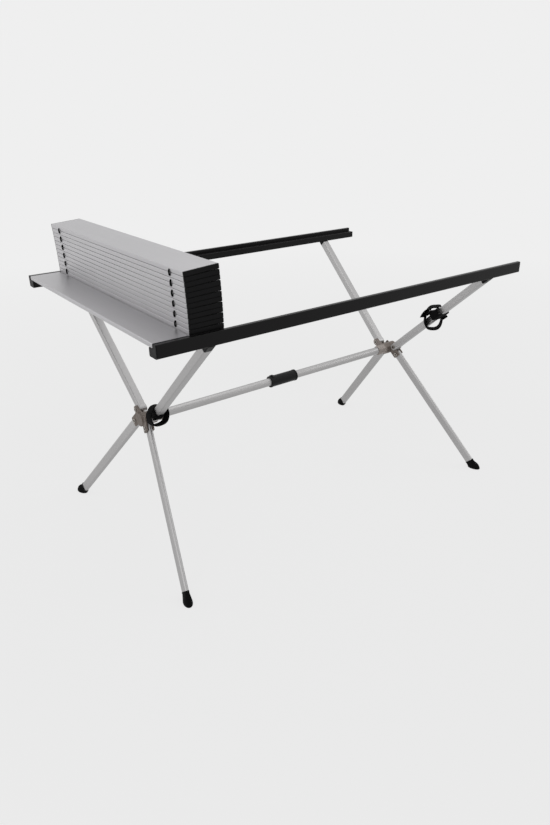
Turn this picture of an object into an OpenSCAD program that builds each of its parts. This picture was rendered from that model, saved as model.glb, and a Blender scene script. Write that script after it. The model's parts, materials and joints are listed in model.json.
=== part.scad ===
// Roll top camp table, with most of its slats folded in a stack at the left end of the rails.
// Sizes are in millimetres. The origin is on the floor under the middle of the table. X runs along
// the rails, Y runs across them with the front at -Y, and Z points up.

/* [Table] */
// Length of the rails with their end caps
table_l = 1100; // [1000:10:1200]
// Width over the outer faces of the two rails
table_w = 700; // [640:10:760]
// Height of the unrolled top above the floor
table_h = 645; // [610:5:680]

/* [Slats] */
// Thickness of a slat
slat_t = 9.9; // [9:0.1:12]
// Gap between the long edges of two slats that lie flat side by side
slat_edge_gap = 1; // [0.8:0.1:2]
// Gap between two slats that lie on each other in the stack
stack_gap = 0.25; // [0.2:0.05:0.5]
// Angle by which the stack springs open between each pair of slats, in degrees
fan_angle = 0.7; // [0:0.1:1]
// Wall of the hollow slat
slat_wall = 1.2; // [0.9:0.1:1.6]
// Radius along the long edges of the slat
slat_round = 1.4; // [0.8:0.1:2]
// Thickness of the two webs inside the slat
slat_web = 1.2; // [0.9:0.1:2]

/* [Slat end caps] */
// Thickness of the flange that closes the end of a slat
cap_flange = 3; // [2:0.5:5]
// Depth of the tongues that hold the cap in the slat
cap_depth = 16; // [10:1:24]
// Play of each tongue in its chamber
cap_play = 0.15; // [0.1:0.05:0.3]
// Chamfer round the outer face of the flange
cap_chamfer = 0.8; // [0.3:0.1:1.2]
// Gap between a cap and the wall of the rail
cap_gap = 1; // [0.5:0.1:2]

/* [Elastic cord] */
// Thickness of the cord
cord_d = 3.2; // [2.6:0.1:3.8]
// Diameter of the cord holes in the edges of the slats
cord_hole_d = 5; // [4.4:0.1:5.6]
// Distance of the cord from the ends of the slats
cord_inset = 54; // [36:1:90]
// Radius of the bends where the cord loops from slat to slat
cord_bend = 2.2; // [2:0.1:3]
// Diameter of the knots at the ends of the cord
cord_knot_d = 6; // [5.6:0.1:6.4]
// Distance of the knots from the outer edges of the first and the last slat
cord_knot_inset = 12; // [8:1:18]

/* [Rails] */
// Width of a rail
rail_w = 28; // [25:1:34]
// Height of a rail
rail_h = 28; // [25:1:34]
// Width of the raised wall beside the ends of the slats
rail_wall = 10; // [8:0.5:13]
// Wall thickness of the hollow rail
rail_skin = 1.6; // [1.2:0.1:2.2]
// Radius of the rail's long corners
rail_round = 2; // [1:0.1:3]
// Gap between the slats and the ledge of the rail
ledge_gap = 0.2; // [0.1:0.05:0.3]
// Thickness of the rail's end cap
rail_cap_t = 3; // [2:0.5:5]
// Depth of the spigot that holds the end cap in the rail
rail_cap_depth = 14; // [8:1:20]
// Play of the spigot in the rail
rail_cap_play = 0.15; // [0.1:0.05:0.3]

/* [Arms] */
// Side of the square arm tube
arm_t = 20; // [18:0.5:22]
// Wall of the arm tube
arm_wall = 1.5; // [1:0.1:2.2]
// Radius of the arm tube's corners
arm_round = 3; // [2:0.1:4]
// Distance of the arms' upper ends from the ends of the rails
arm_top_inset = 120.5; // [100:0.5:140]
// Distance of the arms' pivots from the ends of the rails
arm_hub_inset = 130.5; // [126:0.5:136]
// Height of the arms' pivots above the spreader
arm_pivot_up = 13.4; // [12:0.1:16]
// Distance of the arms' pivots from the middle plane of the table
arm_pivot_out = 35; // [33:0.5:40]
// Gap between the arm plugs and the underside of the rails
plug_gap = 0.1; // [0.05:0.05:0.3]
// Depth of the arm plug inside the arm
plug_depth = 22; // [14:1:40]
// Play of the arm plug in the arm
plug_play = 0.15; // [0.1:0.05:0.3]
// Diameter of the round stud on each side of the arm plug
plug_stud_d = 9; // [6:0.5:12]
// Height of that stud
plug_stud_h = 1; // [0.5:0.1:2]

/* [Legs] */
// Width of the flat-oval leg tube
leg_w = 27; // [24:0.5:28]
// Thickness of the leg tube
leg_t = 11; // [9:0.5:12]
// Wall of the leg tube
leg_wall = 1.4; // [1:0.1:2]
// Distance of the legs' pivots from the ends of the rails
leg_hub_inset = 114; // [110:0.5:118]
// Depth of the legs' pivots below the spreader
leg_pivot_down = 14.6; // [14:0.1:18]
// Distance of the legs' pivots from the middle plane of the table
leg_pivot_out = 30.6; // [29:0.1:35]
// Distance of the feet from the ends of the rails
foot_inset = 35.4; // [20:0.2:60]
// Distance of the feet from the middle plane of the table
foot_out = 315.4; // [280:0.2:340]

/* [Feet] */
// Length of the sole
sole_l = 40; // [34:1:48]
// Width of the sole
sole_w = 20; // [16:1:26]
// Thickness of the sole
sole_h = 5; // [4:0.5:8]
// Radius along the upper edge of the sole
sole_round = 3; // [1.5:0.5:3.5]
// Shift of the sole away from the middle of the table
sole_toe = 4; // [0:0.5:8]
// How far the foot stands out round the end of the leg
foot_lip = 0.7; // [0.3:0.1:1.5]
// Length of the foot's plug inside the leg
foot_grip = 16; // [10:1:24]
// Distance of the leg's end from the floor, along the leg
leg_lift = 22; // [18:1:28]
// Play of the foot in the leg
foot_play = 0.1; // [0.05:0.05:0.2]

/* [Hubs] */
// Height of the spreader above the floor
hub_h = 332; // [315:1:350]
// Diameter of the hub's core
core_d = 34; // [30:0.5:36]
// Thickness of the lug that carries an arm
arm_lug_t = 7; // [5:0.5:9]
// Radius of the lug that carries an arm
arm_lug_r = 10; // [8:0.5:11]
// Gap between an arm and its lug
arm_side_gap = 0.7; // [0.5:0.1:1.2]
// Thickness of each of the two cheeks that hold a leg
leg_cheek_t = 4; // [3:0.5:5]
// Width of those cheeks
leg_cheek_w = 26; // [20:0.5:27]
// Length of those cheeks beyond the leg's pivot
leg_cheek_end = 8; // [7.5:0.5:11]
// Radius at the corners of those cheeks
leg_cheek_round = 4; // [2:0.5:6]
// Gap between a leg and each cheek
leg_side_gap = 0.35; // [0.3:0.05:0.6]
// Room left round the rounded ends of the arms and legs as they turn
turn_room = 0.8; // [0.5:0.1:1.2]
// Outer diameter of the socket for the spreader
socket_d = 29; // [27:0.5:32]
// Length of that socket
socket_l = 28; // [20:1:50]
// Radius of the socket's outer rim
socket_round = 2; // [1:0.5:3]

/* [Rivets] */
// Diameter of the hollow rivets
pin_d = 8; // [7:0.5:9]
// Hole through a rivet
pin_bore = 5.6; // [3:0.2:6]
// Diameter of a rivet's head
pin_head_d = 11.5; // [10.5:0.5:14]
// Thickness of a rivet's head
pin_head_t = 1.4; // [1:0.1:2]
// Running play round a rivet
pin_play = 0.06; // [0.03:0.01:0.1]
// Gap under a rivet's heads
pin_head_gap = 0.1; // [0.05:0.05:0.2]

/* [Spreader] */
// Diameter of the spreader tubes
spreader_d = 22; // [20:0.5:24]
// Wall of the spreader tubes
spreader_wall = 1.5; // [1:0.1:2]
// Play of the tubes in the hubs and in the coupler
spreader_play = 0.1; // [0.05:0.05:0.2]
// Gap between the two tubes inside the coupler
spreader_gap = 3; // [1:0.5:6]
// Diameter of the coupler
coupler_d = 31; // [28:0.5:33]
// Length of the coupler
coupler_l = 88; // [80:1:120]
// Shift of the coupler towards the right
coupler_shift = 0.5; // [-10:0.5:10]
// Height of the rims at the coupler's ends
coupler_rim_h = 0.7; // [0.5:0.1:2]
// Length of those rims
coupler_rim_l = 4; // [2:0.5:6]

/* [Button] */
// Diameter of the coupler's snap button
button_d = 8; // [6.5:0.5:9]
// Height of the button above the coupler
button_rise = 3; // [2.6:0.1:4]
// Play round the button
button_play = 0.3; // [0.2:0.05:0.4]
// Distance of the button from the left end of the coupler
button_inset = 8; // [8:1:14]
// Diameter of the collar that keeps the button in the tube
button_collar_d = 10; // [9.5:0.5:11]
// Thickness of that collar
button_collar_t = 1.2; // [0.8:0.1:1.6]

/* [Straps] */
// Width of the strap webbing
strap_w = 22; // [16:1:26]
// Thickness of the doubled webbing
strap_t = 3.4; // [2.4:0.1:4.5]
// Thickness of the band that is tight round the arm
strap_band_t = 2.2; // [1.6:0.1:3]
// Width of that band or wrap, along the arm
band_w = 36; // [36:1:44]
// Gap between that band and the arm
strap_gap = 0.2; // [0.1:0.05:0.3]
// Angle between the hanging loop and a square cut through the arm, in degrees
loop_tilt = 25; // [15:1:28]
// Width inside the hanging loop
loop_w = 50; // [44:1:60]
// Height inside the hanging loop on the right arm
loop_h_right = 72; // [66:1:84]
// Height inside the hanging loop on the left arm
loop_h_left = 62; // [58:1:80]
// Distance of the left strap from the arm's pivot
strap_at_left = 40; // [38:1:80]
// Distance of the right strap from the arm's pivot
strap_at_right = 186; // [120:1:260]
// Turn of the left loop about its upright, in degrees
loop_twist_left = 30; // [0:1:35]
// Height by which the right loop stands above its arm
loop_raise_right = 20; // [0:1:24]
// Length of the strap's loose tail
tail_l = 26; // [18:1:34]

/* [Hidden] */
$fn = 64;
slat_count = 14;
first_folded = 3;
over = 1;

// The slats share the rails' length, and the rails' walls set how long they are.
slat_pitch = table_l / slat_count;
slat_w = slat_pitch - slat_edge_gap;
slat_l = table_w - 2 * (rail_wall + cap_gap);
layer = slat_t + stack_gap;
slat_mid_z = table_h - slat_t / 2;
chamber_w = (slat_w - 2 * slat_wall - 2 * slat_web) / 3;
chamber_h = slat_t - 2 * slat_wall;
cord_y = slat_l / 2 - cord_inset;
cord_exit = cord_bend + 0.6;
ledge_z = table_h - slat_t - ledge_gap;
rail_bottom = table_h - rail_h;
left_end = -table_l / 2;

// The front left arm and leg are drawn in place and mirrored for the other corners.
arm_p = [left_end + arm_hub_inset, -arm_pivot_out, hub_h + arm_pivot_up];
arm_q = [left_end + arm_top_inset, rail_w / 2 + over - table_w / 2, rail_bottom];
arm_v = arm_q - arm_p;
arm_len = norm(arm_v);
arm_tilt = atan2(-arm_v[1], arm_v[2]);
arm_lean = asin(arm_v[0] / arm_len);
arm_end = arm_len - arm_t / 2 * tan(arm_tilt) - over;
leg_p = [left_end + leg_hub_inset, -leg_pivot_out, hub_h - leg_pivot_down];
foot_p = [left_end + foot_inset, -foot_out, 0];
leg_v = leg_p - foot_p;
leg_len = norm(leg_v);
leg_tilt = atan2(leg_v[1], leg_v[2]);
leg_lean = asin(leg_v[0] / leg_len);
foot_turn = -atan2(leg_v[0], leg_v[1]);

// Where the hub's lugs and cheeks stand along X.
lug_in = arm_p[0] + arm_t / 2 + arm_side_gap;
lug_out = arm_p[0] - arm_t / 2 - arm_side_gap - arm_lug_t;
leg_grip = leg_t / 2 + leg_side_gap + leg_cheek_t;
core_from = leg_p[0] - leg_grip;
core_to = lug_in + arm_lug_t;
socket_to = core_to + socket_l;
arm_reach = norm([arm_pivot_out, arm_pivot_up]);
arm_aim = atan2(-arm_pivot_up, arm_pivot_out);
leg_cheek_l = leg_pivot_out;
coupler_from = coupler_shift - coupler_l / 2;
coupler_to = coupler_shift + coupler_l / 2;
spreader_bore = spreader_d / 2 - spreader_wall;
button_x = coupler_from + button_inset;
button_top = coupler_d / 2 + coupler_rim_h + button_rise;
collar_top = sqrt(pow(spreader_bore, 2) - pow(button_collar_d / 2, 2)) - button_play;

silver = "#b9b8bd";
rail_black = "#242324";
plastic_black = "#161616";
cord_black = "#0e0e0f";
tube_grey = "#a9a8a8";
hub_grey = "#7d746e";
rivet_grey = "#8f8a86";

// Rectangle about its middle, with round corners.
module round_rect(w, h, r) {
    square([w - 2 * r, h], center = true);
    square([w, h - 2 * r], center = true);
    for (x = [-1, 1], y = [-1, 1])
        translate([x * (w / 2 - r), y * (h / 2 - r)])
            circle(r);
}

// Stadium about its middle, w wide between its round ends and t thick.
module flat_oval(w, t) {
    square([t, w - t], center = true);
    for (y = [-1, 1])
        translate([0, y * (w - t) / 2])
            circle(d = t);
}

// The waste at a convex corner that is rounded: the corner is at the origin, the solid at +x, +y.
module corner_waste(r) {
    difference() {
        translate([-over, -over])
            square(r + over);
        translate([r, r])
            circle(r);
    }
}

module to_right(yes) {
    if (yes)
        mirror([1, 0, 0])
            children();
    else
        children();
}

module to_rear(yes) {
    if (yes)
        mirror([0, 1, 0])
            children();
    else
        children();
}

// Turns slat hinge j from the flat top to the stack. Even hinges lie above the slats and odd ones
// below, so that the slats fold like a zig-zag.
module fold_hinge(j) {
    above = j % 2 == 0;
    turn = above ? -180 : 180 - fan_angle;
    z = above ? table_h + stack_gap / 2 : table_h - slat_t - stack_gap / 2;
    translate([left_end + j * slat_pitch, 0, z])
        rotate([0, turn, 0])
            translate([-left_end - j * slat_pitch, 0, -z])
                children();
}

// Carries what is drawn on slat k of the flat top to that slat's place in the stack.
module fold_up(k) {
    if (k < first_folded)
        children();
    else
        fold_up(k - 1)
            fold_hinge(k - 1)
                children();
}

module at_slat(k)
    translate([left_end + (k - 0.5) * slat_pitch, 0, slat_mid_z])
        children();

// Section of a slat across its length: x is its width and y its thickness.
module slat_section() {
    difference() {
        round_rect(slat_w, slat_t, slat_round);
        for (i = [-1, 0, 1])
            translate([i * (chamber_w + slat_web), 0])
                square([chamber_w, chamber_h], center = true);
    }
}

module along_y(l)
    rotate([90, 0, 0])
        linear_extrude(l, center = true)
            children();

module slat(k) {
    from = k == 1 ? cord_knot_inset - slat_w / 2 : -slat_w / 2 - over;
    to = k == slat_count ? slat_w / 2 - cord_knot_inset : slat_w / 2 + over;
    color(silver)
        fold_up(k)
            at_slat(k)
                difference() {
                    along_y(slat_l - 2 * cap_flange)
                        slat_section();
                    for (y = [-cord_y, cord_y])
                        translate([from, y, 0])
                            rotate([0, 90, 0])
                                cylinder(d = cord_hole_d, h = to - from);
                }
}

// One plug cap at the -Y end of a slat: a chamfered flange and three hollow tongues.
module slat_cap() {
    outer = -slat_l / 2;
    tongue_w = chamber_w - 2 * cap_play;
    tongue_h = chamber_h - 2 * cap_play;
    translate([0, outer, 0])
        intersection() {
            rotate([-90, 0, 0])
                linear_extrude(cap_flange)
                    round_rect(slat_w, slat_t, slat_round);
            rotate([90, 0, 90])
                linear_extrude(slat_w, center = true)
                    chamfered_edge(slat_t);
            linear_extrude(slat_t, center = true)
                rotate(90)
                    mirror([0, 1])
                        chamfered_edge(slat_w);
        }
    for (i = [-1, 0, 1])
        translate([i * (chamber_w + slat_web), outer + cap_flange - over / 2, 0])
            rotate([-90, 0, 0])
                linear_extrude(cap_depth + over / 2)
                    difference() {
                        square([tongue_w, tongue_h], center = true);
                        square([tongue_w - 4 * slat_wall, tongue_h - 2 * slat_wall], center = true);
                    }
}

// Section through the flange: x runs from its outer face into the slat, y across it.
module chamfered_edge(across)
    polygon([
        [0, cap_chamfer - across / 2], [cap_chamfer, -across / 2],
        [cap_flange + over, -across / 2], [cap_flange + over, across / 2],
        [cap_chamfer, across / 2], [0, across / 2 - cap_chamfer]
    ]);

module slat_caps(k)
    color(plastic_black)
        fold_up(k)
            at_slat(k)
                for (rear = [false, true])
                    to_rear(rear)
                        slat_cap();

// Loop of cord that leaves an edge along +x and comes back one layer higher.
module cord_loop() {
    translate([-cord_exit, 0, 0])
        rotate([0, 90, 0])
            cylinder(d = cord_d, h = cord_exit);
    for (up = [false, true])
        translate([0, 0, up ? layer - cord_bend : cord_bend])
            rotate([up ? 90 : -90, 0, 0])
                rotate_extrude(angle = 90)
                    translate([cord_bend, 0])
                        circle(d = cord_d);
    translate([cord_bend, 0, cord_bend])
        cylinder(d = cord_d, h = layer - 2 * cord_bend);
    translate([-cord_exit, 0, layer])
        rotate([0, 90, 0])
            cylinder(d = cord_d, h = cord_exit);
}

// Both cords in slat k, with their loops to the slat below on the left and above on the right.
module cord(k) {
    first = k == 2;
    last = k == slat_count;
    from = first ? cord_knot_inset - slat_w / 2 - slat_pitch : -slat_w / 2;
    to = last ? slat_w / 2 - cord_knot_inset : slat_w / 2;
    color(cord_black)
        fold_up(k)
            at_slat(k)
                for (y = [-cord_y, cord_y])
                    translate([0, y, 0]) {
                        translate([from, 0, 0])
                            rotate([0, 90, 0])
                                cylinder(d = cord_d, h = to - from);
                        if (first)
                            translate([from, 0, 0])
                                sphere(d = cord_knot_d);
                        else
                            translate([-slat_w / 2, 0, 0])
                                rotate([0, 180, 0])
                                    cord_loop();
                        if (last)
                            translate([to, 0, 0])
                                sphere(d = cord_knot_d);
                        else
                            translate([slat_w / 2, 0, 0])
                                cord_loop();
                    }
}

// Section of the front rail: x runs inwards from the outer face, y up from the underside.
module rail_outline() {
    step = ledge_z - rail_bottom;
    difference() {
        union() {
            square([rail_w, step]);
            square([rail_wall, rail_h]);
        }
        corner_waste(rail_round);
        translate([rail_w, 0])
            mirror([1, 0])
                corner_waste(rail_round);
        translate([0, rail_h])
            mirror([0, 1])
                corner_waste(rail_round);
        translate([rail_wall, rail_h])
            rotate(180)
                corner_waste(rail_round / 2);
        translate([rail_w, step])
            rotate(180)
                corner_waste(rail_round / 2);
    }
}

module rail_hollow(play) {
    step = ledge_z - rail_bottom;
    edge = rail_skin + play;
    translate([edge, edge]) {
        square([rail_w - 2 * edge, step - 2 * edge]);
        square([rail_wall - 2 * edge, rail_h - 2 * edge]);
    }
}

module rail_place(rear)
    to_rear(rear)
        translate([0, -table_w / 2, rail_bottom])
            children();

module along_x(from, to)
    translate([from, 0, 0])
        rotate([90, 0, 90])
            linear_extrude(to - from)
                children();

module rail(rear)
    color(rail_black)
        rail_place(rear)
            along_x(left_end + rail_cap_t, -left_end - rail_cap_t)
                difference() {
                    rail_outline();
                    rail_hollow(0);
                }

module rail_end_caps()
    color(plastic_black)
        for (rear = [false, true], right = [false, true])
            rail_place(rear)
                to_right(right) {
                    along_x(left_end, left_end + rail_cap_t)
                        rail_outline();
                    along_x(left_end + rail_cap_t - over, left_end + rail_cap_t + rail_cap_depth)
                        rail_hollow(rail_cap_play);
                }

// The front left arm's own frame: the pivot at the origin, the arm along +z.
module at_arm()
    translate(arm_p)
        rotate([arm_tilt, 0, 0])
            rotate([0, arm_lean, 0])
                children();

// The arm's pivot runs along X, also where the arm leans a little.
module across_arm()
    rotate([0, 90 - arm_lean, 0])
        children();

module arm_tube(right, rear) {
    inner = arm_t - 2 * arm_wall;
    color(tube_grey)
        to_rear(rear)
            to_right(right)
                at_arm()
                    difference() {
                        union() {
                            linear_extrude(arm_end)
                                round_rect(arm_t, arm_t, arm_round);
                            rotate([0, 90, 0])
                                cylinder(d = arm_t, h = arm_t, center = true);
                        }
                        translate([0, 0, arm_t / 2])
                            linear_extrude(arm_len)
                                round_rect(inner, inner, arm_round - arm_wall / 2);
                        across_arm()
                            cylinder(d = pin_d + 2 * pin_play, h = 2 * arm_t, center = true);
                    }
}

// The plug fills the wedge between the square end of an arm and the underside of the rail.
module arm_plug() {
    inner = arm_t - 2 * arm_wall - 2 * plug_play;
    intersection() {
        at_arm() {
            translate([0, 0, arm_end])
                linear_extrude(2 * arm_t)
                    round_rect(arm_t, arm_t, arm_round);
            translate([0, 0, arm_end - plug_depth])
                linear_extrude(plug_depth + over)
                    round_rect(inner, inner, arm_round - arm_wall / 2);
            translate([0, 0, arm_end + plug_stud_d / 2])
                rotate([0, 90, 0])
                    cylinder(d = plug_stud_d, h = arm_t + 2 * plug_stud_h, center = true);
        }
        translate([-table_l, -table_w, 0])
            cube([2 * table_l, 2 * table_w, rail_bottom - plug_gap]);
    }
}

module arm_plugs(rear)
    color(plastic_black)
        for (right = [false, true])
            to_rear(rear)
                to_right(right)
                    arm_plug();

// The front left leg's own frame: the pivot at the origin, the leg along -z.
module at_leg()
    translate(leg_p)
        rotate([-leg_tilt, 0, 0])
            rotate([0, leg_lean, 0])
                children();

module leg_tube(right, rear) {
    length = leg_len - leg_lift;
    color(tube_grey)
        to_rear(rear)
            to_right(right)
                at_leg()
                    difference() {
                        union() {
                            translate([0, 0, -length])
                                linear_extrude(length)
                                    flat_oval(leg_w, leg_t);
                            leg_head();
                        }
                        translate([0, 0, -length - leg_w / 2])
                            linear_extrude(length)
                                flat_oval(leg_w - 2 * leg_wall, leg_t - 2 * leg_wall);
                        rotate([0, 90, 0])
                            cylinder(d = pin_d + 2 * pin_play, h = 2 * leg_t, center = true);
                    }
}

// Rounded upper end of a leg, as wide as the leg with the same round edge.
module leg_head() {
    edge = leg_w / 2 - leg_t / 2;
    rotate([0, 90, 0]) {
        cylinder(r = edge, h = leg_t, center = true);
        rotate_extrude()
            translate([edge, 0])
                circle(d = leg_t);
    }
}

// Half section of the sole with its round upper edge: x from the middle, y up.
module sole_section() {
    difference() {
        square([sole_w / 2, sole_h]);
        translate([sole_w / 2, sole_h])
            rotate(180)
                corner_waste(sole_round);
    }
}

module sole() {
    span = sole_l - sole_w;
    for (y = [-span / 2, span / 2])
        translate([0, y, 0])
            rotate_extrude()
                sole_section();
    rotate([90, 0, 0])
        linear_extrude(span, center = true) {
            sole_section();
            mirror([1, 0])
                sole_section();
        }
}

// Rubber foot: an oval sole under a slanting block, with a plug up inside the leg.
module foot(right, rear) {
    inner_w = leg_w - 2 * (leg_wall + foot_play);
    inner_t = leg_t - 2 * (leg_wall + foot_play);
    color(plastic_black)
        to_rear(rear)
            to_right(right) {
                translate(foot_p)
                    rotate([0, 0, foot_turn])
                        translate([0, -sole_toe, 0])
                            sole();
                intersection() {
                    at_leg()
                        translate([0, 0, -leg_len - sole_l])
                            linear_extrude(sole_l + leg_lift - foot_play)
                                flat_oval(leg_w + 2 * foot_lip, leg_t + 2 * foot_lip);
                    translate(foot_p)
                        translate([-sole_l, -2 * sole_l, 0])
                            cube([2 * sole_l, 4 * sole_l, 4 * sole_l]);
                }
                at_leg()
                    translate([0, 0, leg_lift - leg_len - over])
                        linear_extrude(foot_grip + over)
                            flat_oval(inner_w, inner_t);
            }
}

// Plate with a round end at the origin that runs back along +y.
module lug(r, reach, t) {
    rotate([0, 90, 0])
        cylinder(r = r, h = t, center = true);
    translate([-t / 2, 0, -r])
        cube([t, reach, 2 * r]);
}

// Lug of the front arm: it stands inboard of that arm, and outboard of the rear one.
module arm_lug(inboard)
    translate([(inboard ? lug_in : lug_out) + arm_lug_t / 2, arm_p[1], arm_p[2]])
        rotate([arm_aim, 0, 0])
            lug(arm_lug_r, arm_reach, arm_lug_t);

module leg_cheeks()
    at_leg()
        for (side = [-1, 1])
            translate([side * (leg_grip - leg_cheek_t / 2), 0, 0])
                rotate([90, 0, 90])
                    linear_extrude(leg_cheek_t, center = true)
                        translate([0, (leg_cheek_l - leg_cheek_end) / 2])
                            round_rect(leg_cheek_w, leg_cheek_l + leg_cheek_end, leg_cheek_round);

// Room in which the rounded ends of the front arm and the front leg turn.
module turning_room() {
    translate(arm_p)
        rotate([0, 90, 0])
            cylinder(r = arm_t / 2 + turn_room, h = arm_t + 2 * arm_side_gap, center = true);
    at_leg()
        rotate([0, 90, 0])
            cylinder(r = leg_w / 2 + turn_room, h = leg_t + 2 * leg_side_gap, center = true);
}

module pin_holes() {
    translate(arm_p)
        rotate([0, 90, 0])
            cylinder(d = pin_d + 2 * pin_play, h = 4 * arm_t, center = true);
    at_leg()
        rotate([0, 90, 0])
            cylinder(d = pin_d + 2 * pin_play, h = 4 * leg_t, center = true);
}

// Socket for the spreader, with a round rim.
module spreader_socket()
    translate([core_to, 0, hub_h])
        rotate([0, 90, 0])
            rotate_extrude()
                difference() {
                    translate([0, -over])
                        square([socket_d / 2, socket_l + over]);
                    translate([socket_d / 2, socket_l])
                        rotate(180)
                            corner_waste(socket_round);
                }

// Left hub casting. The right one is the same casting turned round.
module hub()
    difference() {
        union() {
            translate([core_from, 0, hub_h])
                rotate([0, 90, 0])
                    cylinder(d = core_d, h = core_to - core_from);
            spreader_socket();
            for (rear = [false, true])
                to_rear(rear) {
                    arm_lug(!rear);
                    leg_cheeks();
                }
        }
        for (rear = [false, true])
            to_rear(rear) {
                turning_room();
                pin_holes();
            }
        translate([core_to, 0, hub_h])
            rotate([0, 90, 0])
                cylinder(d = spreader_d + 2 * spreader_play, h = socket_l + over);
    }

// Hollow rivet along +z through a stack of the given height, with a head at each end.
module rivet(grip) {
    reach = grip + 2 * pin_head_gap;
    translate([0, 0, -pin_head_gap])
        difference() {
            union() {
                cylinder(d = pin_d, h = reach);
                for (z = [-pin_head_t, reach])
                    translate([0, 0, z])
                        cylinder(d = pin_head_d, h = pin_head_t);
            }
            translate([0, 0, -pin_head_t - over])
                cylinder(d = pin_bore, h = reach + 2 * (pin_head_t + over));
        }
}

// The rivets of one hub: each arm is held on one side by its lug, each leg between two cheeks.
module rivets_of_hub() {
    grip = arm_t + arm_side_gap + arm_lug_t + pin_head_d / 2 * tan(abs(arm_lean));
    for (rear = [false, true])
        to_rear(rear) {
            translate([rear ? lug_out : lug_in + arm_lug_t - grip, arm_p[1], arm_p[2]])
                rotate([0, 90, 0])
                    rivet(grip);
            at_leg()
                translate([-leg_grip, 0, 0])
                    rotate([0, 90, 0])
                        rivet(2 * leg_grip);
        }
}

module hub_pins()
    color(rivet_grey)
        for (turn = [0, 180])
            rotate(turn)
                rivets_of_hub();

module hub_left()
    color(hub_grey)
        hub();

module hub_right()
    color(hub_grey)
        rotate(180)
            hub();

module tube_along_x(from, to, d, wall)
    translate([from, 0, hub_h])
        rotate([0, 90, 0])
            difference() {
                cylinder(d = d, h = to - from);
                translate([0, 0, -over])
                    cylinder(d = d - 2 * wall, h = to - from + 2 * over);
            }

module button_hole()
    translate([button_x, 0, hub_h])
        cylinder(d = button_d + 2 * button_play, h = coupler_d);

module spreader_left()
    color(tube_grey)
        difference() {
            tube_along_x(core_to, coupler_shift - spreader_gap / 2, spreader_d, spreader_wall);
            button_hole();
        }

module spreader_right()
    color(tube_grey)
        tube_along_x(coupler_shift + spreader_gap / 2, -core_to, spreader_d, spreader_wall);

// Sleeve over the ends of both spreader tubes, with a rim at each end and a pad for the button.
module spreader_coupler()
    color(plastic_black)
        difference() {
            union() {
                translate([coupler_from, 0, hub_h])
                    rotate([0, 90, 0])
                        cylinder(d = coupler_d, h = coupler_l);
                for (x = [coupler_from, coupler_to - coupler_rim_l])
                    translate([x, 0, hub_h])
                        rotate([0, 90, 0])
                            cylinder(r = coupler_d / 2 + coupler_rim_h, h = coupler_rim_l);
                translate([button_x, 0, hub_h])
                    cylinder(d = button_d + 2 * coupler_rim_l, h = coupler_d / 2 + coupler_rim_h);
            }
            translate([coupler_from - over, 0, hub_h])
                rotate([0, 90, 0])
                    cylinder(d = spreader_d + 2 * spreader_play, h = coupler_l + 2 * over);
            button_hole();
        }

// Snap button with a domed head, and a collar that keeps it inside the tube.
module coupler_button() {
    dome = button_d / 4;
    color(plastic_black)
        translate([button_x, 0, hub_h])
            rotate_extrude() {
                difference() {
                    translate([0, collar_top - button_collar_t])
                        square([button_d / 2, button_top - collar_top + button_collar_t]);
                    translate([button_d / 2, button_top])
                        rotate(180)
                            corner_waste(dome);
                }
                translate([0, collar_top - button_collar_t])
                    square([button_collar_d / 2, button_collar_t]);
            }
}

// Strap on a front arm: a band tight round the arm, and a loop with a loose tail that hangs from it.
module strap(at, loop_h, wrap_w, twist, raise) {
    inside = arm_t + 2 * strap_gap;
    outside = inside + 2 * strap_band_t;
    rest = inside / 2 / cos(loop_tilt) + strap_w / 2 * tan(loop_tilt);
    at_arm()
        translate([0, 0, at])
            difference() {
                union() {
                    linear_extrude(band_w, center = true)
                        difference() {
                            round_rect(wrap_w, outside, arm_round + strap_band_t);
                            round_rect(wrap_w - 2 * strap_band_t, inside, arm_round);
                        }
                    rotate([loop_tilt, 0, 0])
                        rotate([0, twist, 0])
                            translate([0, rest + raise - loop_h / 2, 0])
                                linear_extrude(strap_w, center = true)
                                    hanging_loop(loop_h);
                }
                linear_extrude(arm_len, center = true)
                    round_rect(inside, inside, arm_round);
            }
}

// Outline of the loop of doubled webbing, with its tail lying along its inboard side.
module hanging_loop(loop_h) {
    outer_w = loop_w + 2 * strap_t;
    outer_h = loop_h + 2 * strap_t;
    difference() {
        round_rect(outer_w, outer_h, outer_w / 2 - strap_t);
        round_rect(loop_w, loop_h, loop_w / 2 - strap_t);
    }
    translate([outer_w / 2 - strap_t, 0]) {
        square([2 * strap_t, tail_l]);
        translate([3 * strap_t / 2, 0])
            circle(d = strap_t);
    }
}

module strap_left()
    color(plastic_black)
        strap(strap_at_left, loop_h_left, arm_t + 2 * (strap_gap + strap_band_t), loop_twist_left, 0);

module strap_right()
    color(plastic_black)
        mirror([1, 0, 0])
            strap(strap_at_right, loop_h_right, loop_w + strap_t, 0, loop_raise_right);

module slat_01() slat(1);
module slat_02() slat(2);
module slat_03() slat(3);
module slat_04() slat(4);
module slat_05() slat(5);
module slat_06() slat(6);
module slat_07() slat(7);
module slat_08() slat(8);
module slat_09() slat(9);
module slat_10() slat(10);
module slat_11() slat(11);
module slat_12() slat(12);
module slat_13() slat(13);
module slat_14() slat(14);

module slat_caps_01_02() {
    slat_caps(1);
    slat_caps(2);
}
module slat_caps_03() slat_caps(3);
module slat_caps_04() slat_caps(4);
module slat_caps_05() slat_caps(5);
module slat_caps_06() slat_caps(6);
module slat_caps_07() slat_caps(7);
module slat_caps_08() slat_caps(8);
module slat_caps_09() slat_caps(9);
module slat_caps_10() slat_caps(10);
module slat_caps_11() slat_caps(11);
module slat_caps_12() slat_caps(12);
module slat_caps_13() slat_caps(13);
module slat_caps_14() slat_caps(14);

module cord_02() cord(2);
module cord_04() cord(4);
module cord_06() cord(6);
module cord_08() cord(8);
module cord_10() cord(10);
module cord_12() cord(12);
module cord_14() cord(14);

module rail_front() rail(false);
module rail_rear() rail(true);

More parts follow.
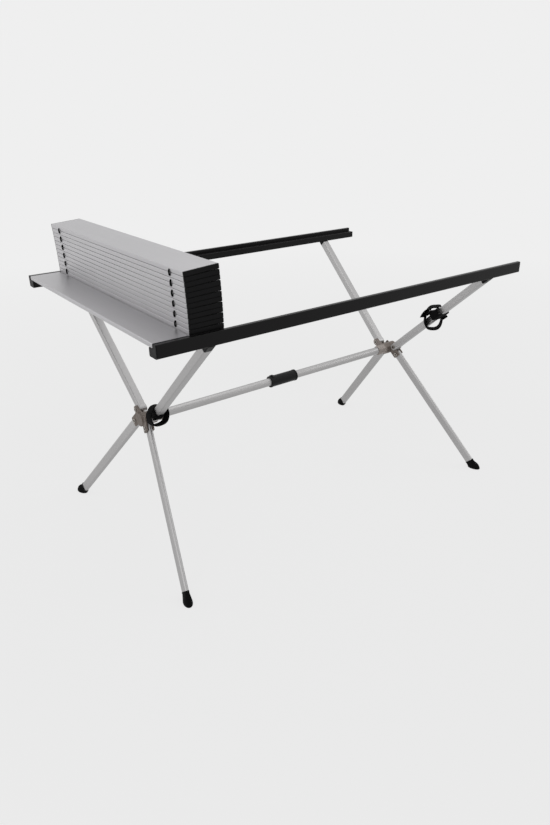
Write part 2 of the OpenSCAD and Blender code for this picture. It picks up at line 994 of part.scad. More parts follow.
module arm_front_left() arm_tube(false, false);
module arm_front_right() arm_tube(true, false);
module arm_rear_left() arm_tube(false, true);
module arm_rear_right() arm_tube(true, true);
module arm_plugs_front() arm_plugs(false);
module arm_plugs_rear() arm_plugs(true);

module leg_front_left() leg_tube(false, false);
module leg_front_right() leg_tube(true, false);
module leg_rear_left() leg_tube(false, true);
module leg_rear_right() leg_tube(true, true);
module foot_front_left() foot(false, false);
module foot_front_right() foot(true, false);
module foot_rear_left() foot(false, true);
module foot_rear_right() foot(true, true);

slat_01();
slat_02();
slat_03();
slat_04();
slat_05();
slat_06();
slat_07();
slat_08();
slat_09();
slat_10();
slat_11();
slat_12();
slat_13();
slat_14();
slat_caps_01_02();
slat_caps_03();
slat_caps_04();
slat_caps_05();
slat_caps_06();
slat_caps_07();
slat_caps_08();
slat_caps_09();
slat_caps_10();
slat_caps_11();
slat_caps_12();
slat_caps_13();
slat_caps_14();
cord_02();
cord_04();
cord_06();
cord_08();
cord_10();
cord_12();
cord_14();
rail_front();
rail_rear();
rail_end_caps();
hub_left();
hub_right();
hub_pins();
spreader_left();
spreader_right();
spreader_coupler();
coupler_button();
arm_front_left();
arm_front_right();
arm_rear_left();
arm_rear_right();
arm_plugs_front();
arm_plugs_rear();
strap_left();
strap_right();
leg_front_left();
leg_front_right();
leg_rear_left();
leg_rear_right();
foot_front_left();
foot_front_right();
foot_rear_left();
foot_rear_right();
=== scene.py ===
"""Looks of a roll top camp table: finishes for its solids, and cords, straps, feet and hubs as meshes."""

import json
import math

import bpy
import numpy as np
from mathutils import Matrix, Vector


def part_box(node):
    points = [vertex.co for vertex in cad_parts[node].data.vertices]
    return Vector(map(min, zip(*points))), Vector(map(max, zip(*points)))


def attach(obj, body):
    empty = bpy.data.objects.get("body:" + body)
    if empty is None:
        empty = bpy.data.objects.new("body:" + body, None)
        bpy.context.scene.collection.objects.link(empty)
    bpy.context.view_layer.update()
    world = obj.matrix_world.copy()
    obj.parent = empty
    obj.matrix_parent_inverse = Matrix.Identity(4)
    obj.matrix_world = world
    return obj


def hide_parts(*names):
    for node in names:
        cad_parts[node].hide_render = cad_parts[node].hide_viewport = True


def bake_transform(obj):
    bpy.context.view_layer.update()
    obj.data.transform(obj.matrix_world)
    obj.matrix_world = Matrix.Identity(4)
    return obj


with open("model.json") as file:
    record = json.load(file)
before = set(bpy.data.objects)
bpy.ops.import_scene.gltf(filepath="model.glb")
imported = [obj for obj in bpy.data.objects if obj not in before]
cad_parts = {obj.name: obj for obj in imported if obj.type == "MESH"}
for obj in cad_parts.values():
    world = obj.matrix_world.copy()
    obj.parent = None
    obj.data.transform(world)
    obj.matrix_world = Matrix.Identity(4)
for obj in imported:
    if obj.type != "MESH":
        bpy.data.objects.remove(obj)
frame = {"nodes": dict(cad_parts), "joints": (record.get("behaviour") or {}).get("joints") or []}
NODES = frame["nodes"]
JOINTS = {joint["name"]: joint for joint in frame["joints"]}
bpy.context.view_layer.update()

bl_info = {
    "name": "Roll Top Camp Table",
    "version": (1, 0, 0),
    "blender": (4, 5, 0),
    "location": "View3D > Sidebar > Camp Table",
    "description": "Dresses the camp table's solid pieces and adds its cords, straps, feet and hubs",
    "category": "Object",
}

MM = 0.001
SLAT_COUNT = 14
FIRST_FOLDED = 3
CORNERS = ("front_left", "front_right", "rear_left", "rear_right")
PHOTO_W = 550
PHOTO_H = 825
SENSOR_MM = 36.0
SELVEDGE_POINTS = 9
# a tube's axis: rounds of correction, and the share of its length that counts as an end
AXIS_ROUNDS = 3
TUBE_END = 0.12
# a tube that rises by less than this share of its length counts as level
LEVEL = 0.1


class TableColours(bpy.types.PropertyGroup):
    """Colours of the table's finishes, as sRGB hex values."""

    slat: bpy.props.StringProperty(
        name="Slats", description="Satin anodised aluminium of the slats", default="B5B4B6")
    tube: bpy.props.StringProperty(
        name="Tubes", description="Satin anodised aluminium of arms, legs and spreader", default="B0AFAF")
    rail: bpy.props.StringProperty(
        name="Rails", description="Black anodised aluminium of the rails", default="0E0D0E")
    plastic: bpy.props.StringProperty(
        name="Caps", description="Black nylon of the caps and plugs", default="0B0B0C")
    coupler: bpy.props.StringProperty(
        name="Coupler", description="Black nylon of the coupler and its button", default="0C0C0E")
    hub: bpy.props.StringProperty(
        name="Hubs", description="Warm grey lacquer on the cast hubs", default="776D66")
    socket: bpy.props.StringProperty(
        name="Sockets", description="Paler lacquer on the hubs' turned sockets", default="A89F99")
    rivet: bpy.props.StringProperty(
        name="Rivets", description="Plain steel of the rivets", default="A8A39D")
    webbing: bpy.props.StringProperty(
        name="Webbing", description="Black polypropylene of the straps", default="0A0A0B")
    stitch: bpy.props.StringProperty(
        name="Stitching", description="Black thread of the straps", default="141416")
    cord: bpy.props.StringProperty(
        name="Cord", description="Black braid of the elastic cord", default="060607")
    rubber: bpy.props.StringProperty(
        name="Feet", description="Black rubber of the feet", default="070707")
    backdrop: bpy.props.StringProperty(
        name="Backdrop", description="Pale grey of the floor and the backdrop", default="EFEFEF")


class TableSizes(bpy.types.PropertyGroup):
    """Sizes of the soft pieces, which the frame doesn't give."""

    cord_d: bpy.props.FloatProperty(
        name="Cord", description="Thickness of the elastic cord", default=3.2 * MM, unit="LENGTH")
    cord_inset: bpy.props.FloatProperty(
        name="Cord Inset", description="Distance of the cord from the ends of the slats",
        default=54 * MM, unit="LENGTH")
    loop_out: bpy.props.FloatProperty(
        name="Cord Loop", description="How far a loop of cord stands out of the slats",
        default=1.2 * MM, unit="LENGTH")
    strap_w: bpy.props.FloatProperty(
        name="Strap Width", description="Width of the webbing", default=22 * MM, unit="LENGTH")
    strap_t: bpy.props.FloatProperty(
        name="Strap Thickness", description="Thickness of one layer of webbing",
        default=1.6 * MM, unit="LENGTH")
    strap_loop_w: bpy.props.FloatProperty(
        name="Loop Width", description="Width inside the hanging loops", default=45 * MM, unit="LENGTH")
    strap_left_at: bpy.props.FloatProperty(
        name="Left Strap", description="Distance of the left strap from the arm's pivot",
        default=27 * MM, unit="LENGTH")
    strap_right_at: bpy.props.FloatProperty(
        name="Right Strap", description="Distance of the right strap from the arm's pivot",
        default=186 * MM, unit="LENGTH")
    strap_left_h: bpy.props.FloatProperty(
        name="Left Loop", description="Height inside the left hanging loop",
        default=46 * MM, unit="LENGTH")
    strap_right_h: bpy.props.FloatProperty(
        name="Right Loop", description="Height inside the right hanging loop",
        default=64 * MM, unit="LENGTH")
    strap_left_tilt: bpy.props.FloatProperty(
        name="Left Tilt", description="Angle of the left loop from a square cut through the arm",
        default=math.radians(32), subtype="ANGLE")
    strap_right_tilt: bpy.props.FloatProperty(
        name="Right Tilt", description="Angle of the right loop from a square cut through the arm",
        default=math.radians(45), subtype="ANGLE")
    strap_left_twist: bpy.props.FloatProperty(
        name="Left Twist", description="Turn of the left loop about its upright",
        default=math.radians(8), subtype="ANGLE")
    strap_right_twist: bpy.props.FloatProperty(
        name="Right Twist", description="Turn of the right loop about its upright",
        default=math.radians(-40), subtype="ANGLE")
    strap_right_raise: bpy.props.FloatProperty(
        name="Right Raise", description="Height by which the right loop stands above its arm",
        default=6 * MM, unit="LENGTH")
    cast_voxel: bpy.props.FloatProperty(
        name="Casting Detail", description="Grid size at which the hub castings are rounded",
        default=0.7 * MM, unit="LENGTH")


class TableView(bpy.types.PropertyGroup):
    """The camera at the photograph's viewpoint."""

    place: bpy.props.FloatVectorProperty(
        name="Place", description="Where the camera stands", default=(-1.06303, -1.42314, 1.04970),
        subtype="TRANSLATION")
    azimuth: bpy.props.FloatProperty(
        name="Azimuth", description="Turn of the view from straight along the table's depth",
        default=math.radians(-36.981), subtype="ANGLE")
    elevation: bpy.props.FloatProperty(
        name="Elevation", description="How far the camera looks down",
        default=math.radians(26.147), subtype="ANGLE")
    roll: bpy.props.FloatProperty(
        name="Roll", description="Tilt of the picture", default=math.radians(-0.55), subtype="ANGLE")
    focal: bpy.props.FloatProperty(
        name="Focal Length", description="Focal length in pixels of the photograph",
        default=670.45, subtype="PIXEL")
    middle: bpy.props.FloatVectorProperty(
        name="Middle", description="Pixel that the camera points at", default=(284.97, 426.93), size=2)


def linear(hex_colour):
    """Linear RGBA of an sRGB hex colour."""
    srgb = np.array([int(hex_colour[i:i + 2], 16) for i in (0, 2, 4)]) / 255
    rgb = np.where(srgb <= 0.04045, srgb / 12.92, ((srgb + 0.055) / 1.055) ** 2.4)
    return (*rgb.tolist(), 1.0)


def shade(hex_colour, factor):
    """Linear RGBA of an sRGB hex colour that is made darker or lighter by a factor."""
    return (*(min(1.0, c * factor) for c in linear(hex_colour)[:3]), 1.0)


def add(tree, kind, settings, inputs):
    """Adds a node, sets its options, and fills its sockets with values or with links.

    The option "stops" gives the place and the colour of a colour ramp's two ends.
    """
    made = tree.nodes.new(kind)
    for name, value in settings.items():
        if name == "stops":
            for i, (place, colour) in enumerate(value):
                made.color_ramp.elements[i].position = place
                made.color_ramp.elements[i].color = colour
        else:
            setattr(made, name, value)
    for name, value in inputs.items():
        if isinstance(value, bpy.types.NodeSocket):
            tree.links.new(value, made.inputs[name])
        else:
            made.inputs[name].default_value = value
    return made


def new_material(name):
    """A node material, its tree, and the texture coordinates that its patterns start from."""
    made = bpy.data.materials.new(name)
    made.use_nodes = True
    made.node_tree.nodes.clear()
    return made, made.node_tree, add(made.node_tree, "ShaderNodeTexCoord", {}, {})


def drawn_metal(name, colour, along, metallic, roughness, streak_mm, mirror=0.5):
    """Drawn or extruded aluminium with an anodised skin.

    The die leaves faint lines along the length, which show as fine changes of gloss, and handling leaves
    broad soft patches. Lines are drawn wider than real ones, so that they show at this size. The mirror
    share is under 0.5 on dyed metal, whose open pores swallow part of the reflection.
    """
    made, tree, place = new_material(name)
    turn = Vector(along).to_track_quat("Z", "Y").inverted().to_euler()
    turned = add(tree, "ShaderNodeMapping", {"vector_type": "POINT"}, {
        "Vector": place.outputs["Object"], "Rotation": turn})
    # A line runs 250 times as far along the piece as across it.
    stretched = add(tree, "ShaderNodeVectorMath", {"operation": "MULTIPLY"}, {
        0: turned.outputs[0], 1: (1.0, 1.0, 0.004)})
    lines = add(tree, "ShaderNodeTexNoise", {}, {
        "Vector": stretched.outputs[0], "Scale": 1 / (streak_mm * MM), "Detail": 3.0, "Roughness": 0.6})
    patches = add(tree, "ShaderNodeTexNoise", {}, {
        "Vector": place.outputs["Object"], "Scale": 1 / (90 * MM), "Detail": 4.0, "Roughness": 0.55})
    both = add(tree, "ShaderNodeMix", {"data_type": "FLOAT"}, {
        "Factor": 0.35, "A": lines.outputs["Fac"], "B": patches.outputs["Fac"]})
    tint = add(tree, "ShaderNodeValToRGB", {
        "stops": ((0.3, shade(colour, 0.95)), (0.7, shade(colour, 1.05)))}, {"Fac": both.outputs[0]})
    gloss = add(tree, "ShaderNodeMapRange", {}, {
        "Value": both.outputs[0], "From Min": 0.3, "From Max": 0.7,
        "To Min": roughness - 0.04, "To Max": roughness + 0.04})
    skin = add(tree, "ShaderNodeBsdfPrincipled", {}, {
        "Base Color": tint.outputs[0], "Metallic": metallic, "Roughness": gloss.outputs[0],
        "Specular IOR Level": mirror})
    add(tree, "ShaderNodeOutputMaterial", {}, {"Surface": skin.outputs[0]})
    return made


def moulded(name, colour, roughness, grain_mm, relief_mm, mirror=0.25):
    """Moulded nylon or rubber: a fine spark-eroded grain, and a slightly uneven sheen from handling.

    The grain is too fine to model, and its pits swallow part of the reflection, so the mirror share is low.
    """
    made, tree, place = new_material(name)
    grain = add(tree, "ShaderNodeTexNoise", {}, {
        "Vector": place.outputs["Object"], "Scale": 1 / (grain_mm * MM), "Detail": 3.0, "Roughness": 0.6})
    handling = add(tree, "ShaderNodeTexNoise", {}, {
        "Vector": place.outputs["Object"], "Scale": 1 / (22 * MM), "Detail": 5.0, "Roughness": 0.6})
    tint = add(tree, "ShaderNodeValToRGB", {
        "stops": ((0.3, shade(colour, 0.8)), (0.75, shade(colour, 1.35)))}, {"Fac": handling.outputs["Fac"]})
    gloss = add(tree, "ShaderNodeMapRange", {}, {
        "Value": handling.outputs["Fac"], "From Min": 0.3, "From Max": 0.7,
        "To Min": roughness - 0.08, "To Max": roughness + 0.08})
    relief = add(tree, "ShaderNodeBump", {}, {
        "Strength": 0.5, "Distance": relief_mm * MM, "Height": grain.outputs["Fac"]})
    skin = add(tree, "ShaderNodeBsdfPrincipled", {}, {
        "Base Color": tint.outputs[0], "Roughness": gloss.outputs[0], "IOR": 1.5,
        "Specular IOR Level": mirror, "Normal": relief.outputs[0]})
    add(tree, "ShaderNodeOutputMaterial", {}, {"Surface": skin.outputs[0]})
    return made


def lacquered_casting(name, colour, bare_colour, socket_from):
    """Die-cast aluminium under warm grey lacquer: an orange-peel skin, thin and paler on raised edges.

    The turned socket, nearer to the table's middle than socket_from, has a thinner coat and is paler.
    """
    made, tree, place = new_material(name)
    peel = add(tree, "ShaderNodeTexNoise", {}, {
        "Vector": place.outputs["Object"], "Scale": 1 / (1.4 * MM), "Detail": 4.0, "Roughness": 0.6})
    mottle = add(tree, "ShaderNodeTexNoise", {}, {
        "Vector": place.outputs["Object"], "Scale": 1 / (9 * MM), "Detail": 3.0, "Roughness": 0.5})
    shape = add(tree, "ShaderNodeNewGeometry", {}, {})
    edge = add(tree, "ShaderNodeMapRange", {}, {
        "Value": shape.outputs["Pointiness"], "From Min": 0.51, "From Max": 0.58,
        "To Min": 0.0, "To Max": 0.6})
    tint = add(tree, "ShaderNodeValToRGB", {
        "stops": ((0.3, shade(colour, 0.82)), (0.7, shade(colour, 1.12)))}, {"Fac": mottle.outputs["Fac"]})
    worn = add(tree, "ShaderNodeMix", {"data_type": "RGBA"}, {
        "Factor": edge.outputs[0], "A": tint.outputs[0], "B": shade(colour, 1.7)})
    apart = add(tree, "ShaderNodeSeparateXYZ", {}, {0: place.outputs["Object"]})
    middle = add(tree, "ShaderNodeMath", {"operation": "ABSOLUTE"}, {0: apart.outputs["X"]})
    socket = add(tree, "ShaderNodeMapRange", {}, {
        "Value": middle.outputs[0], "From Min": socket_from - 2 * MM, "From Max": socket_from + 2 * MM,
        "To Min": 1.0, "To Max": 0.0})
    coat = add(tree, "ShaderNodeMix", {"data_type": "RGBA"}, {
        "Factor": socket.outputs[0], "A": worn.outputs["Result"], "B": linear(bare_colour)})
    relief = add(tree, "ShaderNodeBump", {}, {
        "Strength": 0.35, "Distance": 0.12 * MM, "Height": peel.outputs["Fac"]})
    skin = add(tree, "ShaderNodeBsdfPrincipled", {}, {
        "Base Color": coat.outputs["Result"], "Metallic": 0.25, "Roughness": 0.52,
        "Normal": relief.outputs[0]})
    add(tree, "ShaderNodeOutputMaterial", {}, {"Surface": skin.outputs[0]})
    return made


def plain_steel(name, colour):
    """Rolled steel of a hollow rivet: bright, with the scratches of its setting tool."""
    made, tree, place = new_material(name)
    marks = add(tree, "ShaderNodeTexNoise", {}, {
        "Vector": place.outputs["Object"], "Scale": 1 / (0.9 * MM), "Detail": 4.0, "Roughness": 0.7})
    gloss = add(tree, "ShaderNodeMapRange", {}, {
        "Value": marks.outputs["Fac"], "From Min": 0.3, "From Max": 0.7, "To Min": 0.26, "To Max": 0.46})
    tint = add(tree, "ShaderNodeValToRGB", {
        "stops": ((0.35, shade(colour, 0.85)), (0.65, shade(colour, 1.05)))}, {"Fac": marks.outputs["Fac"]})
    skin = add(tree, "ShaderNodeBsdfPrincipled", {}, {
        "Base Color": tint.outputs[0], "Metallic": 1.0, "Roughness": gloss.outputs[0]})
    add(tree, "ShaderNodeOutputMaterial", {}, {"Surface": skin.outputs[0]})
    return made


def woven(name, colour, warp_mm, weft_mm, relief_mm, turn=0.0):
    """Woven or braided yarn on the piece's own UV map, which is in metres.

    Two crossing sets of rounded ribs stand for the yarns. Their spacing is the real one, and the relief
    gives the dull, broken shine of the weave. The colour is painted shade in the hollows between the
    yarns and painted light on their crowns.
    """
    made, tree, place = new_material(name)
    turned = add(tree, "ShaderNodeMapping", {}, {"Vector": place.outputs["UV"], "Rotation": (0, 0, turn)})
    # At scale 1 the bands of a wave are pi / 10 apart.
    ribs = []
    for direction, spacing in (("X", warp_mm), ("Y", weft_mm)):
        ribs.append(add(tree, "ShaderNodeTexWave", {"wave_type": "BANDS", "bands_direction": direction}, {
            "Vector": turned.outputs[0], "Scale": math.pi / 10 / (spacing * MM), "Distortion": 0.4,
            "Detail": 1.0}))
    yarn = add(tree, "ShaderNodeMath", {"operation": "MULTIPLY"}, {
        0: ribs[0].outputs["Fac"], 1: ribs[1].outputs["Fac"]})
    fuzz = add(tree, "ShaderNodeTexNoise", {}, {
        "Vector": place.outputs["Object"], "Scale": 1 / (0.6 * MM), "Detail": 3.0})
    height = add(tree, "ShaderNodeMath", {"operation": "MULTIPLY_ADD"}, {
        0: fuzz.outputs["Fac"], 1: 0.3, 2: yarn.outputs[0]})
    # painted shade and painted light: the colour follows the yarns' height, darker in the hollows between
    # them and lighter on their crowns
    tint = add(tree, "ShaderNodeValToRGB", {
        "stops": ((0.0, shade(colour, 0.45)), (0.8, shade(colour, 1.6)))}, {"Fac": yarn.outputs[0]})
    relief = add(tree, "ShaderNodeBump", {}, {
        "Strength": 0.8, "Distance": relief_mm * MM, "Height": height.outputs[0]})
    skin = add(tree, "ShaderNodeBsdfPrincipled", {}, {
        "Base Color": tint.outputs[0], "Roughness": 0.78, "Specular IOR Level": 0.08,
        "Normal": relief.outputs[0]})
    add(tree, "ShaderNodeOutputMaterial", {}, {"Surface": skin.outputs[0]})
    return made


def wear(node, material):
    """Gives a solid piece of the frame its finish."""
    for slot in NODES[node].material_slots:
        slot.material = material


def grid_faces(rows, columns, closed_rows):
    """Quads of a grid of points. Its columns close on themselves, and its rows may."""
    i = np.arange(rows if closed_rows else rows - 1)
    a, b = np.meshgrid(i, np.arange(columns), indexing="ij")
    c, d = (a + 1) % rows, (b + 1) % columns
    return np.stack([a * columns + b, a * columns + d, c * columns + d, c * columns + b], -1).reshape(-1, 4)


class Shape:
    """Points, faces and texture places of a mesh that is put together from grids."""

    def __init__(self):
        self.points = []
        self.faces = []
        self.uvs = []
        self.count = 0

    def grid(self, points, uv, closed_rows=False):
        """Adds a grid of rows x columns points. Open rows get a flat cap at each end."""
        rows, columns = points.shape[:2]
        quads = grid_faces(rows, columns, closed_rows) + self.count
        self.faces.extend(quads.tolist())
        if not closed_rows:
            first = np.arange(columns) + self.count
            self.faces.append(first[::-1].tolist())
            self.faces.append((first + (rows - 1) * columns).tolist())
        self.points.append(points.reshape(-1, 3))
        self.uvs.append(uv.reshape(-1, 2))
        self.count += rows * columns

    def piece(self, name, material, slot):
        """The mesh as a smooth object at the origin, with its texture places and finish. The slot is not
        used.
        """
        mesh = bpy.data.meshes.new(name)
        mesh.from_pydata(np.concatenate(self.points).tolist(), [], self.faces)
        layer = mesh.uv_layers.new(name="UVMap")
        corners = np.empty(len(mesh.loops), np.int32)
        mesh.loops.foreach_get("vertex_index", corners)
        layer.data.foreach_set("uv", np.concatenate(self.uvs)[corners].astype(np.float32).ravel())
        mesh.polygons.foreach_set("use_smooth", np.ones(len(mesh.polygons), bool))
        mesh.materials.append(material)
        made = bpy.data.objects.new(name, mesh)
        bpy.context.scene.collection.objects.link(made)
        return made


def lengths(path):
    """Distance along a path at each of its points: the sum of the steps before it."""
    steps = np.linalg.norm(np.diff(path, axis=0), axis=-1)
    return np.concatenate([[0.0], np.cumsum(steps)])


def carried(path, side, up, outline):
    """An outline carried along a path: each path point plus the outline's two sizes along side and up."""
    return (path[:, None, :] + outline[None, :, :1] * side[:, None, :]
            + outline[None, :, 1:] * up[:, None, :])


def round_outline(radius, count):
    """Circle of the given radius."""
    a = np.arange(count) * 2 * math.pi / count
    return radius * np.stack([np.cos(a), np.sin(a)], -1)


def ribbon_outline(width, thickness):
    """Flat ribbon with rounded selvedges: a rectangle whose short sides are half circles."""
    r = thickness / 2
    a = np.linspace(-math.pi / 2, math.pi / 2, SELVEDGE_POINTS)
    right = np.stack([width / 2 - r + r * np.cos(a), r * np.sin(a)], -1)
    return np.concatenate([right, -right])


def perpendiculars(path, fixed, closed=False):
    """Directions across a path: one along the fixed vector, and one at right angles to it and the path."""
    if closed:
        along = np.roll(path, -1, axis=0) - np.roll(path, 1, axis=0)
    else:
        along = np.gradient(path, axis=0)
    along /= np.linalg.norm(along, axis=-1, keepdims=True)
    side = np.broadcast_to(fixed, path.shape)
    up = np.cross(along, side)
    return side, up / np.linalg.norm(up, axis=-1, keepdims=True)


def node_points(node):
    """Points of a solid piece of the frame."""
    flat = np.empty(3 * len(NODES[node].data.vertices))
    NODES[node].data.vertices.foreach_get("co", flat)
    return flat.reshape(-1, 3)


def tube_axis(node):
    """Middle and direction of a straight tube. The direction points up, or to +X on a level tube.

    The spread of the points gives a first direction, which the middles of the tube's two ends correct.
    """
    points = node_points(node)
    turned = np.linalg.svd(np.cov(points.T))[0]
    for _ in range(AXIS_ROUNDS):
        local = points @ turned
        low, high = local[:, 0].min(), local[:, 0].max()
        ends = [local[np.abs(local[:, 0] - end) < TUBE_END * (high - low)] for end in (low, high)]
        middles = [(e.min(0) + e.max(0)) / 2 for e in ends]
        ahead = turned @ (middles[1] - middles[0])
        ahead /= np.linalg.norm(ahead)
        across = turned[:, 1] - ahead * (turned[:, 1] @ ahead)
        across /= np.linalg.norm(across)
        turned = np.stack([ahead, across, np.cross(ahead, across)], -1)
    middle = turned @ ((middles[0] + middles[1]) / 2)
    ahead = turned[:, 0]
    return middle, ahead * np.sign(ahead[2] if abs(ahead[2]) > LEVEL else ahead[0])


class TABLE_OT_slats(bpy.types.Operator):
    """Satin anodised finish for the slats"""

    bl_idname = "camp_table.slats"
    bl_label = "Slats"

    def execute(self, context):
        colours = context.scene.table_colours
        finish = drawn_metal("satin anodised slat aluminium", colours.slat, (0, 1, 0), 1.0, 0.42, 2.0)
        for k in range(1, SLAT_COUNT + 1):
            wear(f"slat_{k:02d}", finish)
        return {"FINISHED"}


class TABLE_OT_caps(bpy.types.Operator):
    """Moulded nylon for the slat caps, rail caps and arm plugs"""

    bl_idname = "camp_table.caps"
    bl_label = "Caps and Plugs"

    def execute(self, context):
        colours = context.scene.table_colours
        nylon = moulded("moulded black nylon", colours.plastic, 0.42, 0.7, 0.04, 0.11)
        for node in NODES:
            if node.startswith(("slat_caps", "rail_end", "arm_plugs")):
                wear(node, nylon)
        return {"FINISHED"}


class TABLE_OT_rails(bpy.types.Operator):
    """Black anodised finish for the rails"""

    bl_idname = "camp_table.rails"
    bl_label = "Rails"

    def execute(self, context):
        colours = context.scene.table_colours
        finish = drawn_metal("black anodised rail aluminium", colours.rail, (1, 0, 0), 0.0, 0.32, 1.6, 0.15)
        for node in ("rail_front", "rail_rear"):
            wear(node, finish)
        return {"FINISHED"}


class TABLE_OT_tubes(bpy.types.Operator):
    """Satin finish along each arm, leg and spreader tube"""

    bl_idname = "camp_table.tubes"
    bl_label = "Arms, Legs and Spreader"

    def execute(self, context):
        colours = context.scene.table_colours
        tubes = [f"{kind}_{corner}" for kind in ("arm", "leg") for corner in CORNERS]
        for node in tubes + ["spreader_left", "spreader_right"]:
            along = tube_axis(node)[1]
            name = f"satin drawn aluminium {node.replace('_', ' ')}"
            wear(node, drawn_metal(name, colours.tube, along, 1.0, 0.46, 2.0))
        return {"FINISHED"}


class TABLE_OT_hubs(bpy.types.Operator):
    """Cast hubs with rounded edges, and their rivets"""

    bl_idname = "camp_table.hubs"
    bl_label = "Hubs"

    JOIN = 0.005 * MM
    SKIN_PASSES = 7

    def execute(self, context):
        colours = context.scene.table_colours
        voxel = context.scene.table_sizes.cast_voxel
        # The left spreader tube ends at the floor of the hub's socket, where the paler coat starts.
        socket_from = -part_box("spreader_left")[0][0]
        casting = lacquered_casting("warm grey lacquered casting", colours.hub, colours.socket, socket_from)
        for node in ("hub_left", "hub_right"):
            mesh = NODES[node].data.copy()
            mesh.name = f"{node}_casting"
            made = bpy.data.objects.new(f"{node}_casting", mesh)
            context.scene.collection.objects.link(made)
            weld = made.modifiers.new("Join faces", "WELD")
            weld.merge_threshold = self.JOIN
            grid = made.modifiers.new("Round edges", "REMESH")
            grid.mode = "VOXEL"
            grid.voxel_size = voxel
            grid.use_smooth_shade = True
            soft = made.modifiers.new("Cast skin", "SMOOTH")
            soft.factor = 0.5
            soft.iterations = self.SKIN_PASSES
            for slot in made.material_slots:
                slot.material = casting
            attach(made, "frame")
            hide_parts(node)
        wear("hub_pins", plain_steel("plain rivet steel", colours.rivet))
        return {"FINISHED"}


class TABLE_OT_coupler(bpy.types.Operator):
    """Moulded nylon for the coupler and its button"""

    bl_idname = "camp_table.coupler"
    bl_label = "Coupler"

    def execute(self, context):
        colours = context.scene.table_colours
        nylon = moulded("moulded coupler nylon", colours.coupler, 0.42, 0.9, 0.06, 0.18)
        wear("spreader_coupler", nylon)
        wear("coupler_button", moulded("polished button nylon", colours.coupler, 0.3, 0.9, 0.02))
        return {"FINISHED"}


FOOT_STATIONS = np.array([
    # height of the section's middle above the floor or along the leg, blend to the leg's own
    # direction, half length, half width, all in mm apart from the blend
    [0.0, 0.0, 17.6, 9.6],
    [0.5, 0.0, 18.8, 10.8],
    [1.6, 0.0, 19.2, 11.2],
    [3.6, 0.0, 19.2, 11.2],
    [5.4, 0.05, 18.4, 11.0],
    [8.0, 0.2, 17.2, 10.6],
    [12.0, 0.55, 15.8, 9.4],
    [17.0, 1.0, 15.0, 7.6],
    [22.0, 1.0, 14.6, 6.6],
    [25.0, 1.0, 14.6, 6.5],
    [26.4, 1.0, 15.0, 6.9],
    [27.6, 1.0, 15.0, 6.9],
    [28.2, 1.0, 14.4, 6.3],
    [28.2, 1.0, 13.65, 5.65],
    [23.0, 1.0, 13.6, 5.6],
])


def smooth_rows(rows, steps):
    """Rows of numbers joined by smooth curves: each gap gets steps points of a Catmull-Rom spline."""
    ends = np.concatenate([2 * rows[:1] - rows[1:2], rows, 2 * rows[-1:] - rows[-2:-1]])
    t = np.arange(steps)[None, :, None] / steps
    p0, p1, p2, p3 = (ends[i:len(ends) - 3 + i, None, :] for i in range(4))
    curve = 0.5 * (2 * p1 + (p2 - p0) * t + (2 * p0 - 5 * p1 + 4 * p2 - p3) * t ** 2
                   + (3 * p1 - p0 - 3 * p2 + p3) * t ** 3)
    return np.concatenate([curve.reshape(-1, rows.shape[1]), rows[-1:]])


class TABLE_OT_feet(bpy.types.Operator):
    """Rubber feet: an oval sole that narrows into a socket round the leg"""

    bl_idname = "camp_table.feet"
    bl_label = "Feet"

    # how far the sole reaches out past the point where the leg's axis meets the floor
    TOE = -2 * MM
    # powers of the superellipse: 2 is an oval, and a higher one is nearer to a rectangle
    SOLE_FULLNESS = 2.0
    COLLAR_FULLNESS = 2.7
    COLUMNS = 56
    ROWS_PER_STATION = 4

    def execute(self, context):
        rubber = moulded("moulded black rubber", context.scene.table_colours.rubber, 0.7, 1.1, 0.08, 0.08)
        rows = smooth_rows(FOOT_STATIONS, self.ROWS_PER_STATION)
        height, blend, half_l, half_w = (rows[:, i] for i in range(4))
        angle = np.arange(self.COLUMNS) * 2 * math.pi / self.COLUMNS
        # The section goes from the sole's oval to the leg's rectangle with round corners.
        mix = np.clip(blend, 0, 1)[:, None]
        power = 2 / (self.SOLE_FULLNESS * (1 - mix) + self.COLLAR_FULLNESS * mix)
        c, s = (np.sign(v) * np.abs(v) ** power for v in (np.cos(angle), np.sin(angle)))
        for corner in CORNERS:
            middle, axis = tube_axis(f"leg_{corner}")
            floor_point = middle - axis * middle[2] / axis[2]
            out = -np.array([axis[0], axis[1], 0.0]) / np.linalg.norm(axis[:2])
            across = np.cross([0.0, 0.0, 1.0], out)
            thin = np.array(JOINTS[f"leg_{corner}_fold"]["axis"])
            thin = thin - axis * (thin @ axis)
            thin *= np.sign(thin @ across) / np.linalg.norm(thin)
            square_out = np.cross(thin, axis)
            square_out *= np.sign(square_out @ out)
            # The sections start level above the floor, and the blend turns them square to the leg.
            low_path = floor_point + out * self.TOE + np.array([0.0, 0.0, 1.0]) * height[:, None] * MM
            high_path = floor_point + axis * height[:, None] * MM
            path = low_path * (1 - mix) + high_path * mix
            long_way = out * (1 - mix) + square_out * mix
            long_way /= np.linalg.norm(long_way, axis=-1, keepdims=True)
            wide_way = across * (1 - mix) + thin * mix
            wide_way /= np.linalg.norm(wide_way, axis=-1, keepdims=True)
            points = (path[:, None, :]
                      + (c * half_l[:, None] * MM)[..., None] * long_way[:, None, :]
                      + (s * half_w[:, None] * MM)[..., None] * wide_way[:, None, :])
            points[..., 2] = np.maximum(points[..., 2], 0.0)
            uv = np.stack(np.broadcast_arrays(angle[None, :], height[:, None] * MM), -1)
            shape = Shape()
            shape.grid(points, uv)
            foot = shape.piece(f"rubber_foot_{corner}", rubber, "foot_rubber")
            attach(foot, f"leg_{corner}")
            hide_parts(f"foot_{corner}")
        return {"FINISHED"}


